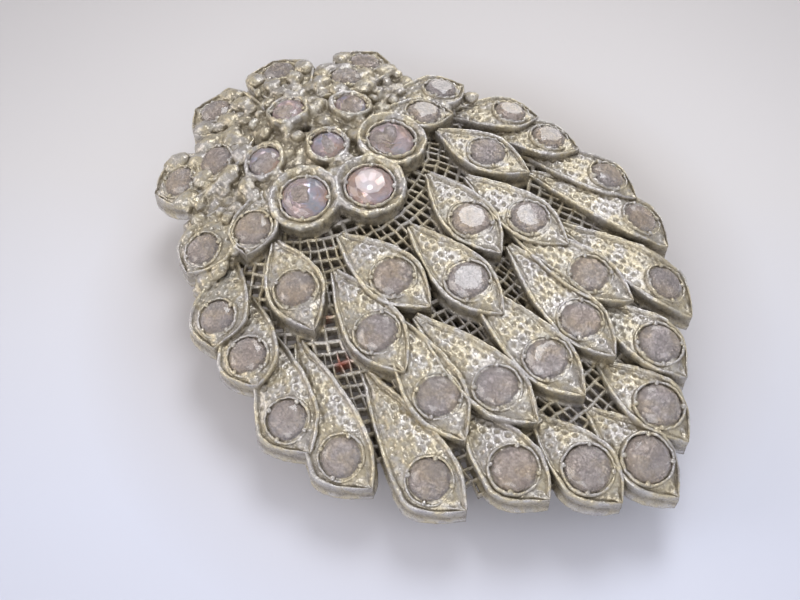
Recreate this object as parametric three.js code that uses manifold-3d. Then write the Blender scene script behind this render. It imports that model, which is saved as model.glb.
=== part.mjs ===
// Domed rhinestone hair clip: a drop-shaped cast ornament set with glass stones, and a sprung clip under it.
// Millimetres. +X runs along the ornament towards its pointed tail, +Y across it, +Z up, with the clip lying
// on z = 0 and the origin under the middle of the ring of rim stones.
import * as THREE from "three";
import { ConvexGeometry } from "three/addons/geometries/ConvexGeometry.js";
import { mergeVertices } from "three/addons/utils/BufferGeometryUtils.js";
import Module from "manifold-3d";

const wasm = await Module();
wasm.setup();

// ---------- Driving dimensions ----------

// The dome: heights are those of the stones' girdles, from the rim of the ornament to its crown.
const rimHeight = 7.2;
const domeRise = 4.2;
const domePower = 1.3; // 1 would be a cone, 2 a round bowl
const crownX = -17.5; // the middle of the dome
const headLift = 1.3; // how much higher the rim is at the head than at the tail
const halfLength = 27; // from the ornament's middle to the rim stones
const halfWidth = 19.8;
const headRoundness = 2; // the head half of the outline is an ellipse
const tailRoundness = 1.58; // the tail half comes to a point
const skirtSlope = 0.45; // of the petals' tips, which bend down outside the line of the rim stones

// The sheet of cast lattice between the petals.
const latticeDrop = 1.0; // how far its top lies under the stones' girdles
const latticeThickness = 0.8;
const latticeRings = 5;
const latticeSectors = 36;

// Petals: each is a drop with a stone in its wide end, its tip outwards and its stem towards the crown.
const petalRise = 0.25; // of a petal's top over the stone's girdle
const petalDepth = 2; // of a petal's bottom under the stone's girdle
const stemHalfWidth = 0.4;

// "away" is the angle of a place from the tail, in degrees, as seen from the dome's middle. Headings are the
// directions of the petals' tips in degrees from +X, on the +Y side; the -Y side mirrors them.
const curlEnds = 66; // where the rim's tips are straight again

const rim = {
  name: "rim_stone",
  // Places on one side of the long axis, from the tail round to the head; the other side mirrors them.
  pairs: [
    [24.5, 4.3], [20.5, 8.8], [16.5, 14.4], [10, 18.4], [4.5, 19.7],
    [-2.4, 18.6], [-7.4, 18.2], [-14.1, 14.9], [-22.4, 11.8], [-26.9, 4],
  ],
  onAxis: [27.1],
  heading: (away) => away - 14 * Math.max(0, Math.sin(2 * THREE.MathUtils.degToRad(away))),
  curl: 25, // degrees that the tips turn back towards the tail, at the most
  stoneRadius: (away) => 2.05 - 0.35 * Math.min(1, away / 60),
  petal: (away) => ({
    width: 5.4 + 1.8 * (away / 160) ** 2,
    stem: 5.5 + 5.5 * Math.max(0, 1 - ((away - 29) / 17) ** 2),
    tip: 3.7 - 1.1 * Math.min(1, away / 70) ** 1.5,
  }),
};

const middle = {
  name: "middle_stone",
  // Each with its heading.
  pairs: [
    [14.6, 5, -4], [11.8, 9.2, 13], [4, 9.2, 9], [1, 4.7, -6],
    [-4.1, 11.7, 18], [-11.8, 10.6, 50], [-21, 8.2, 101],
  ],
  onAxis: [15.5, 5.6],
  curl: 0,
  stoneRadius: (away) => 1.95 - 0.25 * Math.min(1, away / 100),
  petal: (away, x) =>
    away < 60 ? { width: 5.3, stem: 5.4 + 0.18 * x, tip: 4.5 } : { width: 4.8, stem: 4.2, tip: 2.8 },
};

// The crown: one stone inside a regular hexagon of six.
const crownMiddleX = -13.7;
const crownRing = 6.1;
const crownFrontRadius = 2.2; // the three stones nearest the tail sit in wide collars
const crownBackRadius = 1.6;
const wideCollar = 1.1;
const narrowCollar = 0.7;
const collarRise = 0.35;

// Stones: a flat table, a faceted crown and a blunt foiled back, each in a pocket of the casting.
const girdleSides = 12;
const tableShare = 0.55; // of the stone's radius
const backShare = 0.6;
const stoneRise = 0.35; // of the table, as a share of the radius
const stoneBack = 0.8;
const pocketGap = 0.08;

// The clip's base plate, riveted to two posts under the dome.
const sheet = 0.6; // thickness of the plate and of the lever
const plateBottom = 4.9;
const plateHead = -17;
const plateTail = 19.2;
const plateHalfWidth = 4.3;
const plateTailHalfWidth = 3;
const rivetPlaces = [-8, 14.5];
const postRadius = 1.5;
const rivetRadius = 0.5;
const rivetHeadRadius = 1.1;
const rivetHead = 0.4;
const rivetReach = 1.5; // of the shank over the plate's bottom
const fitGap = 0.05;

// The hinge, across the head end of the plate.
const hingeX = -12;
const hingeHeight = 3.3;
const pinRadius = 0.55;
const pinHeadRadius = 0.95;
const pinHead = 0.4;
const earRadius = 1.5;
const lugRadius = 1.15;
const lugInner = 2.7;
const lugOuter = 3.3;

// The lever: a bowed strip with a thumb tab at the head and a toothed jaw at the tail.
const leverHalfWidth = 3.3;
const tabHalfWidth = 4.4;
const tabX = -23.8;
const underPin = 1.5; // height of the strip's middle line at the pin
const bowHead = -5.5; // between these the strip lies flat on the table
const bowTail = 9.5;
const jawX = 18.5;
const toothCount = 6;
const toothHeight = 0.9;

// The torsion spring on the pin.
const wireRadius = 0.22;
const coilRadius = 1.05;
const coilTurns = 4.5;
const coilHalfWidth = 2;
const springLeg = 5; // from the pin to each leg's end, towards the head

const paints = {
  cast_metal: new THREE.MeshStandardMaterial({ color: 0x9a9285, roughness: 0.35, metalness: 0.9 }),
  clear_stone: new THREE.MeshStandardMaterial({ color: 0xd9cfd2, roughness: 0.05, metalness: 0.2 }),
  sheet_steel: new THREE.MeshStandardMaterial({ color: 0x8d8880, roughness: 0.4, metalness: 0.9 }),
  spring_steel: new THREE.MeshStandardMaterial({ color: 0x74665a, roughness: 0.5, metalness: 0.8 }),
};

// ---------- Solids ----------

function solid(geometry) {
  const plain = geometry.clone();
  plain.deleteAttribute("normal");
  plain.deleteAttribute("uv");
  const merged = mergeVertices(plain, 1e-4);
  const triVerts = new Uint32Array(
    merged.index ? merged.index.array : [...Array(merged.attributes.position.count).keys()],
  );
  return new wasm.Manifold(
    new wasm.Mesh({ numProp: 3, vertProperties: merged.attributes.position.array, triVerts }),
  );
}

function geometryOf(body) {
  const made = body.getMesh();
  const geometry = new THREE.BufferGeometry();
  geometry.setAttribute("position", new THREE.BufferAttribute(made.vertProperties, 3));
  geometry.setIndex(new THREE.BufferAttribute(made.triVerts, 1));
  geometry.computeVertexNormals();
  return geometry;
}

function moved(geometry, x, y, z) {
  return solid(geometry.clone().translate(x, y, z));
}

// A cylinder that stands on z = bottom.
function post(radius, bottom, top, x = 0, y = 0, sides = 16) {
  const geometry = new THREE.CylinderGeometry(radius, radius, top - bottom, sides);
  return moved(geometry.rotateX(Math.PI / 2), x, y, (bottom + top) / 2);
}

// A cylinder along Y at the hinge.
function acrossHinge(radius, from, to, sides = 20) {
  const geometry = new THREE.CylinderGeometry(radius, radius, to - from, sides);
  return moved(geometry, hingeX, (from + to) / 2, hingeHeight);
}

function block(x0, x1, y0, y1, z0, z1) {
  const geometry = new THREE.BoxGeometry(x1 - x0, y1 - y0, z1 - z0);
  return moved(geometry, (x0 + x1) / 2, (y0 + y1) / 2, (z0 + z1) / 2);
}

function joined(bodies) {
  return bodies.reduce((whole, body) => whole.add(body));
}

// ---------- The dome ----------

// Under 1 inside the line through the rim stones, over 1 outside it.
function outlineLevel(x, y) {
  const power = x < 0 ? headRoundness : tailRoundness;
  return Math.abs(x / halfLength) ** power + Math.abs(y / halfWidth) ** power;
}

// How far from the crown to the rim line, from the crown at this angle.
function rimReach(angle) {
  let inside = 0;
  let outside = 2 * halfLength;
  while (outside - inside > 1e-4) {
    const reach = (inside + outside) / 2;
    if (outlineLevel(crownX + reach * Math.cos(angle), reach * Math.sin(angle)) < 1) inside = reach;
    else outside = reach;
  }
  return inside;
}

function girdleHeight(x, y) {
  const along = x - crownX;
  const reach = rimReach(Math.atan2(y, along));
  const share = Math.hypot(along, y) / reach;
  const dome = domeRise * (1 - Math.min(1, share) ** domePower);
  const lift = headLift * Math.min(1, Math.max(0, -along / (halfLength + crownX)));
  return rimHeight + dome + lift - skirtSlope * reach * Math.max(0, share - 1);
}

// The direction that the dome faces, taken over the width of a stone.
function domeNormal(x, y) {
  const step = 1.5;
  const slopeX = (girdleHeight(x + step, y) - girdleHeight(x - step, y)) / (2 * step);
  const slopeY = (girdleHeight(x, y + step) - girdleHeight(x, y - step)) / (2 * step);
  return new THREE.Vector3(-slopeX, -slopeY, 1).normalize();
}

// A flat outline turned into a slab that follows the dome.
function slabOnDome(outline, rise, depth) {
  const geometry = new THREE.ExtrudeGeometry(outline, { depth: 1, bevelEnabled: false, curveSegments: 4 });
  const place = geometry.attributes.position;
  for (let i = 0; i < place.count; i++) {
    const height = girdleHeight(place.getX(i), place.getY(i));
    place.setZ(i, place.getZ(i) > 0.5 ? height + rise : height - depth);
  }
  return solid(geometry);
}

function latticeSheet() {
  const shares = Array.from({ length: latticeRings }, (_, i) => (i + 1) / latticeRings);
  const layers = [latticeDrop, latticeDrop + latticeThickness];
  const points = layers.flatMap((drop) => [
    [crownX, 0, rimHeight + domeRise - drop],
    ...shares.flatMap((share) =>
      Array.from({ length: latticeSectors }, (_, j) => {
        const angle = (2 * Math.PI * j) / latticeSectors;
        const reach = share * rimReach(angle);
        const x = crownX + reach * Math.cos(angle);
        const y = reach * Math.sin(angle);
        return [x, y, girdleHeight(x, y) - drop];
      }),
    ),
  ]);
  const layerSize = 1 + latticeRings * latticeSectors;
  const faces = [];
  const face = (a, b, c, layer) => {
    if (layer === 0) faces.push(a, b, c);
    else faces.push(a + layerSize, c + layerSize, b + layerSize);
  };
  const at = (ring, j) => 1 + ring * latticeSectors + (j % latticeSectors);
  for (let j = 0; j < latticeSectors; j++) {
    for (const layer of [0, 1]) {
      face(0, at(0, j), at(0, j + 1), layer);
      for (let ring = 0; ring + 1 < latticeRings; ring++) {
        face(at(ring, j), at(ring + 1, j), at(ring + 1, j + 1), layer);
        face(at(ring, j), at(ring + 1, j + 1), at(ring, j + 1), layer);
      }
    }
    const [top, nextTop] = [at(latticeRings - 1, j), at(latticeRings - 1, j + 1)];
    faces.push(top, top + layerSize, nextTop + layerSize, top, nextTop + layerSize, nextTop);
  }
  const geometry = new THREE.BufferGeometry();
  geometry.setAttribute("position", new THREE.Float32BufferAttribute(points.flat(), 3));
  geometry.setIndex(faces);
  return solid(geometry);
}

// ---------- Petals, collars and stones ----------

// A drop, bent at its stone: its stem points back along the heading, and its tip curls towards the tail.
function petalOutline(x, y, heading, curl, { width, stem, tip }) {
  const half = width / 2;
  const drop = new THREE.Shape();
  drop.moveTo(-stem, -stemHalfWidth);
  drop.quadraticCurveTo(-0.45 * stem, -half, 0.2 * half, -half);
  drop.quadraticCurveTo(0.8 * tip, -0.95 * half, tip, 0);
  drop.quadraticCurveTo(0.8 * tip, 0.95 * half, 0.2 * half, half);
  drop.quadraticCurveTo(-0.45 * stem, half, -stem, stemHalfWidth);
  const slope = Math.tan(curl);
  const bent = drop.getPoints(3).map(({ x: u, y: v }) => {
    const swung = new THREE.Vector2(u, v - slope * Math.max(0, u) * (u / tip));
    return swung.rotateAround(new THREE.Vector2(), heading).add(new THREE.Vector2(x, y));
  });
  return new THREE.Shape(bent);
}

// Every place of a tier, numbered from the tail, with the angle away from the tail that it lies at.
function placesOf(tier) {
  const onAxis = tier.onAxis.map((x) => [x, 0]);
  const all = [...onAxis, ...tier.pairs.flatMap(([x, y, turn]) => [[x, y, turn], [x, -y, turn]])];
  return all.map(([x, y, turn], i) => {
    const { degToRad, radToDeg } = THREE.MathUtils;
    const away = radToDeg(Math.atan2(Math.abs(y), x - crownX));
    const side = Math.sign(y);
    const heading = degToRad(side * (turn ?? rim.heading(away)));
    const curl = degToRad(side * tier.curl * Math.sin((Math.PI * Math.min(away, curlEnds)) / curlEnds));
    return {
      name: `${tier.name}_${String(i + 1).padStart(2, "0")}`,
      x,
      y,
      radius: tier.stoneRadius(away),
      outline: petalOutline(x, y, heading, curl, tier.petal(away, x)),
    };
  });
}

function crownPlaces() {
  const ring = Array.from({ length: 6 }, (_, i) => {
    const angle = (Math.PI / 3) * i;
    return { x: crownMiddleX + crownRing * Math.cos(angle), y: crownRing * Math.sin(angle) };
  });
  return [{ x: crownMiddleX, y: 0 }, ...ring].map(({ x, y }, i) => {
    const front = i > 0 && x > crownMiddleX;
    return {
      name: `crown_stone_${i + 1}`,
      x,
      y,
      radius: front ? crownFrontRadius : crownBackRadius,
      collar: front ? wideCollar : narrowCollar,
    };
  });
}

// Stands a geometry that is built round the Z axis on the dome, square to it.
function standOnDome(geometry, { x, y }) {
  const turn = new THREE.Quaternion().setFromUnitVectors(new THREE.Vector3(0, 0, 1), domeNormal(x, y));
  return geometry.applyQuaternion(turn).translate(x, y, girdleHeight(x, y));
}

function pocket(place) {
  const top = 4;
  const bottom = -stoneBack - pocketGap;
  const radius = (place.radius + pocketGap) / Math.cos(Math.PI / girdleSides);
  const geometry = new THREE.CylinderGeometry(radius, radius, top - bottom, girdleSides);
  return solid(standOnDome(geometry.rotateX(Math.PI / 2).translate(0, 0, (top + bottom) / 2), place));
}

function collar(place) {
  const bottom = -petalDepth;
  const radius = place.radius + place.collar;
  const geometry = new THREE.CylinderGeometry(radius, radius, collarRise - bottom, 18);
  return solid(standOnDome(geometry.rotateX(Math.PI / 2).translate(0, 0, (collarRise + bottom) / 2), place));
}

function stoneGeometry(place) {
  const ringOf = (sides, radius, z, start) =>
    Array.from({ length: sides }, (_, i) => {
      const angle = start + (2 * Math.PI * i) / sides;
      return new THREE.Vector3(radius * Math.cos(angle), radius * Math.sin(angle), z);
    });
  const half = girdleSides / 2;
  const points = [
    ...ringOf(half, tableShare * place.radius, stoneRise * place.radius, Math.PI / half),
    ...ringOf(girdleSides, place.radius, 0, 0),
    ...ringOf(half, backShare * place.radius, -stoneBack, Math.PI / half),
  ];
  return standOnDome(new ConvexGeometry(points), place);
}

function casting(petals, crown) {
  const posts = rivetPlaces.map((x) => {
    const top = girdleHeight(x, 0) - latticeDrop - latticeThickness / 2;
    return post(postRadius, plateBottom + sheet + fitGap, top, x);
  });
  const raised = joined([
    latticeSheet(),
    ...petals.map(({ outline }) => slabOnDome(outline, petalRise, petalDepth)),
    ...crown.map(collar),
    ...posts,
  ]);
  const pockets = joined([...petals, ...crown].map(pocket));
  const rivetHoles = joined(
    rivetPlaces.map((x) => post(rivetRadius + fitGap, plateBottom, plateBottom + rivetReach + fitGap, x)),
  );
  return raised.subtract(pockets).subtract(rivetHoles);
}

// ---------- The clip ----------

function basePlate() {
  const plan = new THREE.Shape();
  const corner = 1.5;
  plan.moveTo(plateHead + corner, -plateHalfWidth);
  plan.lineTo(0, -plateHalfWidth);
  plan.lineTo(plateTail, -plateTailHalfWidth);
  plan.lineTo(plateTail, plateTailHalfWidth);
  plan.lineTo(0, plateHalfWidth);
  plan.lineTo(plateHead + corner, plateHalfWidth);
  plan.absarc(plateHead + corner, plateHalfWidth - corner, corner, Math.PI / 2, Math.PI);
  plan.absarc(plateHead + corner, corner - plateHalfWidth, corner, Math.PI, 1.5 * Math.PI);
  const blank = new THREE.ExtrudeGeometry(plan, { depth: sheet, bevelEnabled: false, curveSegments: 4 });
  const flat = moved(blank, 0, 0, plateBottom);
  const ears = [-1, 1].map((side) => {
    const [from, to] = [side * (plateHalfWidth - sheet), side * plateHalfWidth].sort((a, b) => a - b);
    const top = plateBottom + sheet / 2;
    const web = block(hingeX - earRadius, hingeX + earRadius, from, to, hingeHeight, top);
    return acrossHinge(earRadius, from, to).add(web);
  });
  const holes = [
    acrossHinge(pinRadius + fitGap, -2 * plateHalfWidth, 2 * plateHalfWidth),
    ...rivetPlaces.map((x) => post(rivetRadius + fitGap, plateBottom - 1, plateBottom + 1, x)),
  ];
  return joined([flat, ...ears]).subtract(joined(holes));
}

function rivet(x) {
  const head = plateBottom - fitGap;
  const outline = [
    [0, head - rivetHead],
    [0.7 * rivetHeadRadius, head - rivetHead],
    [rivetHeadRadius, head],
    [rivetRadius, head],
    [rivetRadius, plateBottom + rivetReach],
    [0, plateBottom + rivetReach],
  ].map(([r, z]) => new THREE.Vector2(r, z));
  return moved(new THREE.LatheGeometry(outline, 16).rotateX(Math.PI / 2), x, 0, 0);
}

function hingePin() {
  const reach = plateHalfWidth + fitGap;
  const outline = [
    [0, -reach - pinHead],
    [0.8 * pinHeadRadius, -reach - pinHead],
    [pinHeadRadius, -reach],
    [pinRadius, -reach],
    [pinRadius, reach],
    [pinHeadRadius, reach],
    [0.8 * pinHeadRadius, reach + pinHead],
    [0, reach + pinHead],
  ].map(([r, y]) => new THREE.Vector2(r, y));
  return moved(new THREE.LatheGeometry(outline, 20), hingeX, 0, hingeHeight);
}

// The strip's middle line from the thumb tab, under the pin, along the table and up to the jaw.
function leverLine() {
  const rest = sheet / 2;
  const line = new THREE.Path();
  line.moveTo(tabX, 0.9);
  line.lineTo(hingeX + 1, underPin);
  line.bezierCurveTo(hingeX + 4, underPin + 0.1, bowHead - 3, rest, bowHead, rest);
  line.lineTo(bowTail, rest);
  line.quadraticCurveTo(bowTail + 3.4, rest, bowTail + 5.3, 1.9);
  line.lineTo(jawX - 0.1, 3.95);
  return line.getPoints(6);
}

// A strip of sheet metal, seen from the side, round its middle line.
function stripOutline(line) {
  const edge = (offset) =>
    line.map((point, i) => {
      const along = line[Math.min(i + 1, line.length - 1)].clone().sub(line[Math.max(i - 1, 0)]).normalize();
      return new THREE.Vector2(point.x - along.y * offset, point.y + along.x * offset);
    });
  return new THREE.Shape([...edge(-sheet / 2), ...edge(sheet / 2).reverse()]);
}

function lever() {
  const side = stripOutline(leverLine());
  const wide = 2 * tabHalfWidth;
  const rolled = new THREE.ExtrudeGeometry(side, { depth: wide, bevelEnabled: false });
  const strip = solid(rolled.rotateX(Math.PI / 2).translate(0, wide / 2, 0));

  const neck = hingeX - 4.5;
  const plan = new THREE.Shape();
  plan.moveTo(neck, -leverHalfWidth);
  plan.lineTo(jawX + 1, -leverHalfWidth);
  plan.lineTo(jawX + 1, leverHalfWidth);
  plan.lineTo(neck, leverHalfWidth);
  plan.bezierCurveTo(neck - 2, tabHalfWidth, tabX - 1, tabHalfWidth + 1, tabX, 0);
  plan.bezierCurveTo(tabX - 1, -tabHalfWidth - 1, neck - 2, -tabHalfWidth, neck, -leverHalfWidth);
  const stampOptions = { depth: plateBottom + 1, bevelEnabled: false, curveSegments: 8 };
  const stamp = moved(new THREE.ExtrudeGeometry(plan, stampOptions), 0, 0, -0.5);
  const stamped = strip.intersect(stamp);

  const lugs = [-1, 1].map((sideOf) => {
    const [from, to] = [sideOf * lugInner, sideOf * lugOuter].sort((a, b) => a - b);
    const web = block(hingeX - lugRadius, hingeX + lugRadius, from, to, underPin, hingeHeight);
    return acrossHinge(lugRadius, from, to).add(web);
  });

  const comb = new THREE.Shape();
  const pitch = (2 * leverHalfWidth) / toothCount;
  const toothTop = plateBottom - fitGap;
  const toothRoot = toothTop - toothHeight;
  comb.moveTo(-leverHalfWidth, toothRoot - 0.6);
  comb.lineTo(leverHalfWidth, toothRoot - 0.6);
  for (let i = 0; i < toothCount; i++) {
    const right = leverHalfWidth - i * pitch;
    comb.lineTo(right, toothRoot);
    comb.lineTo(right - pitch / 2, toothTop);
  }
  comb.lineTo(-leverHalfWidth, toothRoot);
  const toothed = new THREE.ExtrudeGeometry(comb, { depth: sheet, bevelEnabled: false });
  const teeth = moved(toothed.rotateX(Math.PI / 2).rotateZ(Math.PI / 2), jawX - sheet, 0, 0);
  const bore = acrossHinge(pinRadius + fitGap, -plateHalfWidth, plateHalfWidth);
  return joined([stamped, ...lugs, teeth]).subtract(bore);
}

// One leg under the plate, four and a half turns round the pin, and one leg on the thumb tab.
class SpringPath extends THREE.Curve {
  getPoint(t, target = new THREE.Vector3()) {
    const legShare = 0.12;
    const coilShare = 1 - 2 * legShare;
    const turned = THREE.MathUtils.clamp((t - legShare) / coilShare, 0, 1);
    const angle = Math.PI / 2 - 2 * Math.PI * coilTurns * turned;
    const y = coilHalfWidth * (2 * turned - 1);
    const straight = t < legShare ? 1 - t / legShare : Math.max(0, (t - legShare - coilShare) / legShare);
    const lift = t < 0.5 ? 0.2 : -0.2;
    return target.set(
      hingeX + coilRadius * Math.cos(angle) - springLeg * straight,
      y,
      hingeHeight + coilRadius * Math.sin(angle) + lift * straight,
    );
  }
}

function spring() {
  const wire = new THREE.Shape();
  wire.absarc(0, 0, wireRadius, 0, 2 * Math.PI);
  const options = { steps: 64, curveSegments: 3, bevelEnabled: false, extrudePath: new SpringPath() };
  return solid(new THREE.ExtrudeGeometry(wire, options));
}

// ---------- Assembly ----------

function mesh(name, geometry, paint) {
  const made = new THREE.Mesh(geometry, paints[paint].clone());
  made.name = name;
  return made;
}

function ornament() {
  const petals = [...placesOf(rim), ...placesOf(middle)];
  const crown = crownPlaces();
  const group = new THREE.Group();
  group.add(mesh("ornament_casting", geometryOf(casting(petals, crown)), "cast_metal"));
  for (const place of [...petals, ...crown]) {
    group.add(mesh(place.name, stoneGeometry(place), "clear_stone"));
  }
  return group;
}

function clip() {
  const group = new THREE.Group();
  group.add(mesh("clip_base_plate", geometryOf(basePlate()), "sheet_steel"));
  group.add(mesh("rivet_head_end", geometryOf(rivet(rivetPlaces[0])), "sheet_steel"));
  group.add(mesh("rivet_tail_end", geometryOf(rivet(rivetPlaces[1])), "sheet_steel"));
  group.add(mesh("hinge_pin", geometryOf(hingePin()), "spring_steel"));
  group.add(mesh("torsion_spring", geometryOf(spring()), "spring_steel"));
  group.add(mesh("clip_lever", geometryOf(lever()), "sheet_steel"));
  return group;
}

const hairClip = new THREE.Group();
hairClip.add(ornament(), clip());
export default hairClip;
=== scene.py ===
import functools
import math
import random

import bmesh
import bpy
import numpy as np
from mathutils import Matrix, Vector, noise
from mathutils.kdtree import KDTree


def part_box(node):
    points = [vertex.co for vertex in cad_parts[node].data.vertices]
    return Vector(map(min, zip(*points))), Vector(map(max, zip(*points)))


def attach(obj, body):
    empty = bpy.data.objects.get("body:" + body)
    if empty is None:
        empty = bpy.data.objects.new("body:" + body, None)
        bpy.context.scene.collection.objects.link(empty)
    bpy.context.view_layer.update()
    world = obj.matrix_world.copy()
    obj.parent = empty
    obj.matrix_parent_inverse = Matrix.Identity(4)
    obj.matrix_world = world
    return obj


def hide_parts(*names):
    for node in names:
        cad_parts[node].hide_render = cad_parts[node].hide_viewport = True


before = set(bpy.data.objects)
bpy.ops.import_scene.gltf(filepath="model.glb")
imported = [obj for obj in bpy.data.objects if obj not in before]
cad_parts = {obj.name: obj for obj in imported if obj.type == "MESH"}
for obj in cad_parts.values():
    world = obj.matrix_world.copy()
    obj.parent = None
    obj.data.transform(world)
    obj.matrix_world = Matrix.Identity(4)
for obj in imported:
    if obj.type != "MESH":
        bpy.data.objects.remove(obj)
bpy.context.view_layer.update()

MM = 0.001
SEED = 7
dice = random.Random(SEED)
noise.seed_set(SEED)  # unset, noise_vector takes its offset from the clock, and each run differs

# ---------- The dome, as in the CAD ----------

RIM_HEIGHT = 7.2
DOME_RISE = 4.2
DOME_POWER = 1.3
CROWN_X = -17.5
HEAD_LIFT = 1.3
HALF_LENGTH = 27.0
HALF_WIDTH = 19.8
HEAD_ROUNDNESS = 2.0
TAIL_ROUNDNESS = 1.58
SKIRT_SLOPE = 0.45


def outline_level(x, y):
    """1 on the line through the rim stones, and less inside it."""
    power = np.where(x < 0, HEAD_ROUNDNESS, TAIL_ROUNDNESS)
    return np.abs(x / HALF_LENGTH) ** power + np.abs(y / HALF_WIDTH) ** power


def reach_by_angle(count=1440):
    """How far it is from the dome's middle to the line through the rim stones, all the way round."""
    angle = np.linspace(-math.pi, math.pi, count)
    inside = np.zeros(count)
    outside = np.full(count, 2 * HALF_LENGTH)
    for _ in range(30):
        reach = (inside + outside) / 2
        within = outline_level(CROWN_X + reach * np.cos(angle), reach * np.sin(angle)) < 1
        inside = np.where(within, reach, inside)
        outside = np.where(within, outside, reach)
    return angle, inside


ANGLES, REACHES = reach_by_angle()


def rim_reach(x, y):
    """How far the dome's middle is from the line through the rim stones, in this point's direction."""
    return np.interp(np.arctan2(y, x - CROWN_X), ANGLES, REACHES)


def dome_share(x, y):
    """0 at the dome's middle, 1 on the line through the rim stones."""
    return np.hypot(x - CROWN_X, y) / rim_reach(x, y)


def girdle_height(x, y):
    """Height of the stones' girdles over the table, also outside the line through the rim stones."""
    share = dome_share(x, y)
    dome = DOME_RISE * (1 - np.minimum(1, share) ** DOME_POWER)
    lift = HEAD_LIFT * np.clip((CROWN_X - x) / (HALF_LENGTH + CROWN_X), 0, 1)
    return RIM_HEIGHT + dome + lift - SKIRT_SLOPE * rim_reach(x, y) * np.maximum(0, share - 1)


def dome_normal(x, y, step=1.5):
    """The dome's upward direction, averaged over a stone's width."""
    slope_x = (girdle_height(x + step, y) - girdle_height(x - step, y)) / (2 * step)
    slope_y = (girdle_height(x, y + step) - girdle_height(x, y - step)) / (2 * step)
    return Vector((-slope_x, -slope_y, 1)).normalized()


def on_dome(x, y, turn=0.0):
    """The matrix that stands a shape on the dome at a stone's place, in millimetres."""
    lean = Vector((0, 0, 1)).rotation_difference(dome_normal(x, y)).to_matrix().to_4x4()
    place = Matrix.Translation((x, y, float(girdle_height(x, y))))
    return place @ lean @ Matrix.Rotation(turn, 4, "Z")


# ---------- Materials ----------


def new_material(name, **values):
    """A material whose shader has these values, named as the sockets are, with _ for a space."""
    material = bpy.data.materials.new(name)
    material.use_nodes = True
    shader = material.node_tree.nodes["Principled BSDF"]
    for socket, value in values.items():
        shader.inputs[socket.replace("_", " ")].default_value = value
    return material, material.node_tree.nodes, material.node_tree.links, shader


def add_node(nodes, kind, **settings):
    """A new node with these socket values and, for names that no socket has, properties."""
    node = nodes.new(kind)
    for name, value in settings.items():
        if name in node.inputs:
            node.inputs[name].default_value = value
        else:
            setattr(node, name, value)
    return node


def noise_texture(nodes, links, scale, detail=4.0, roughness=0.6):
    """Noise with this many waves per metre of the object."""
    place = nodes.get("Texture Coordinate") or nodes.new("ShaderNodeTexCoord")
    texture = add_node(nodes, "ShaderNodeTexNoise", Scale=scale, Detail=detail, Roughness=roughness)
    links.new(place.outputs["Object"], texture.inputs["Vector"])
    return texture.outputs["Fac"]


def ramp(nodes, links, source, stops):
    """Turns a value into a colour by stops of (value, colour)."""
    node = nodes.new("ShaderNodeValToRGB")
    elements = node.color_ramp.elements
    while len(elements) < len(stops):
        elements.new(0.5)
    for element, (position, colour) in zip(elements, stops):
        element.position = position
        element.color = (*colour, 1)
    links.new(source, node.inputs["Fac"])
    return node.outputs["Color"]


def mix(nodes, links, share, first, second, blend="MIX"):
    """Mixes two colours; the share and both colours may be fixed or come from a node."""
    node = add_node(nodes, "ShaderNodeMix", data_type="RGBA", blend_type=blend)
    for socket, value in ((node.inputs[0], share), (node.inputs[6], first), (node.inputs[7], second)):
        if hasattr(value, "is_output"):
            links.new(value, socket)
        elif isinstance(value, tuple):
            socket.default_value = (*value, 1)
        else:
            socket.default_value = value
    return node.outputs[2]


def to_range(nodes, links, source, low, high, from_low=0.0, from_high=1.0):
    node = nodes.new("ShaderNodeMapRange")
    for name, value in (("From Min", from_low), ("From Max", from_high), ("To Min", low), ("To Max", high)):
        node.inputs[name].default_value = value
    links.new(source, node.inputs["Value"])
    return node.outputs["Result"]


def bump(nodes, links, shader, height, strength, distance):
    node = add_node(nodes, "ShaderNodeBump", Strength=strength, Distance=distance)
    links.new(height, node.inputs["Height"])
    links.new(node.outputs["Normal"], shader.inputs["Normal"])


def cast_metal():
    """Plated pot metal, grey where it is rubbed and yellowed elsewhere, with brown dirt and painted shade
    in the recesses.

    The mesh attribute of wear and painted shade is 1 on rubbed edges and 0 in the pits; it is also low on
    undersides, low walls and the feet of lumps, which is painted shade. "rust" is 1 on the red spots.
    """
    material, nodes, links, shader = new_material("cast_metal_plated", Metallic=0.52)
    wear_and_shade = add_node(nodes, "ShaderNodeAttribute", attribute_name="wear_and_shade").outputs["Fac"]
    rust = add_node(nodes, "ShaderNodeAttribute", attribute_name="rust").outputs["Fac"]
    patches = noise_texture(nodes, links, 330, 3.0)
    specks = noise_texture(nodes, links, 1500, 4.0, 0.65)
    grains = noise_texture(nodes, links, 3200, 2.0, 0.6)
    bright = ramp(nodes, links, patches, [
        (0.34, (0.50, 0.48, 0.49)), (0.46, (0.58, 0.56, 0.54)), (0.55, (0.62, 0.55, 0.40)),
        (0.66, (0.52, 0.50, 0.46)),
    ])
    tarnish = ramp(nodes, links, specks, [
        (0.3, (0.19, 0.165, 0.135)), (0.55, (0.32, 0.28, 0.21)), (0.75, (0.46, 0.42, 0.34)),
    ])
    # Ambient occlusion darkens the colour in the recesses and between parts: painted shade.
    hollows = add_node(nodes, "ShaderNodeAmbientOcclusion", samples=4, only_local=True, Distance=1.1 * MM)
    open_air = to_range(nodes, links, hollows.outputs["AO"], 0.0, 1.0, 0.35, 0.9)
    speckled_wear_and_shade = mix(nodes, links, 0.5, wear_and_shade, specks, "OVERLAY")
    shown = mix(nodes, links, 1.0, speckled_wear_and_shade, open_air, "MULTIPLY")
    metal = mix(nodes, links, shown, tarnish, bright)
    links.new(mix(nodes, links, rust, metal, (0.42, 0.06, 0.02)), shader.inputs["Base Color"])
    links.new(to_range(nodes, links, specks, 0.16, 0.40, 0.3, 0.7), shader.inputs["Roughness"])
    bump(nodes, links, shader, grains, 0.9, 0.0001)
    return material


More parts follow.
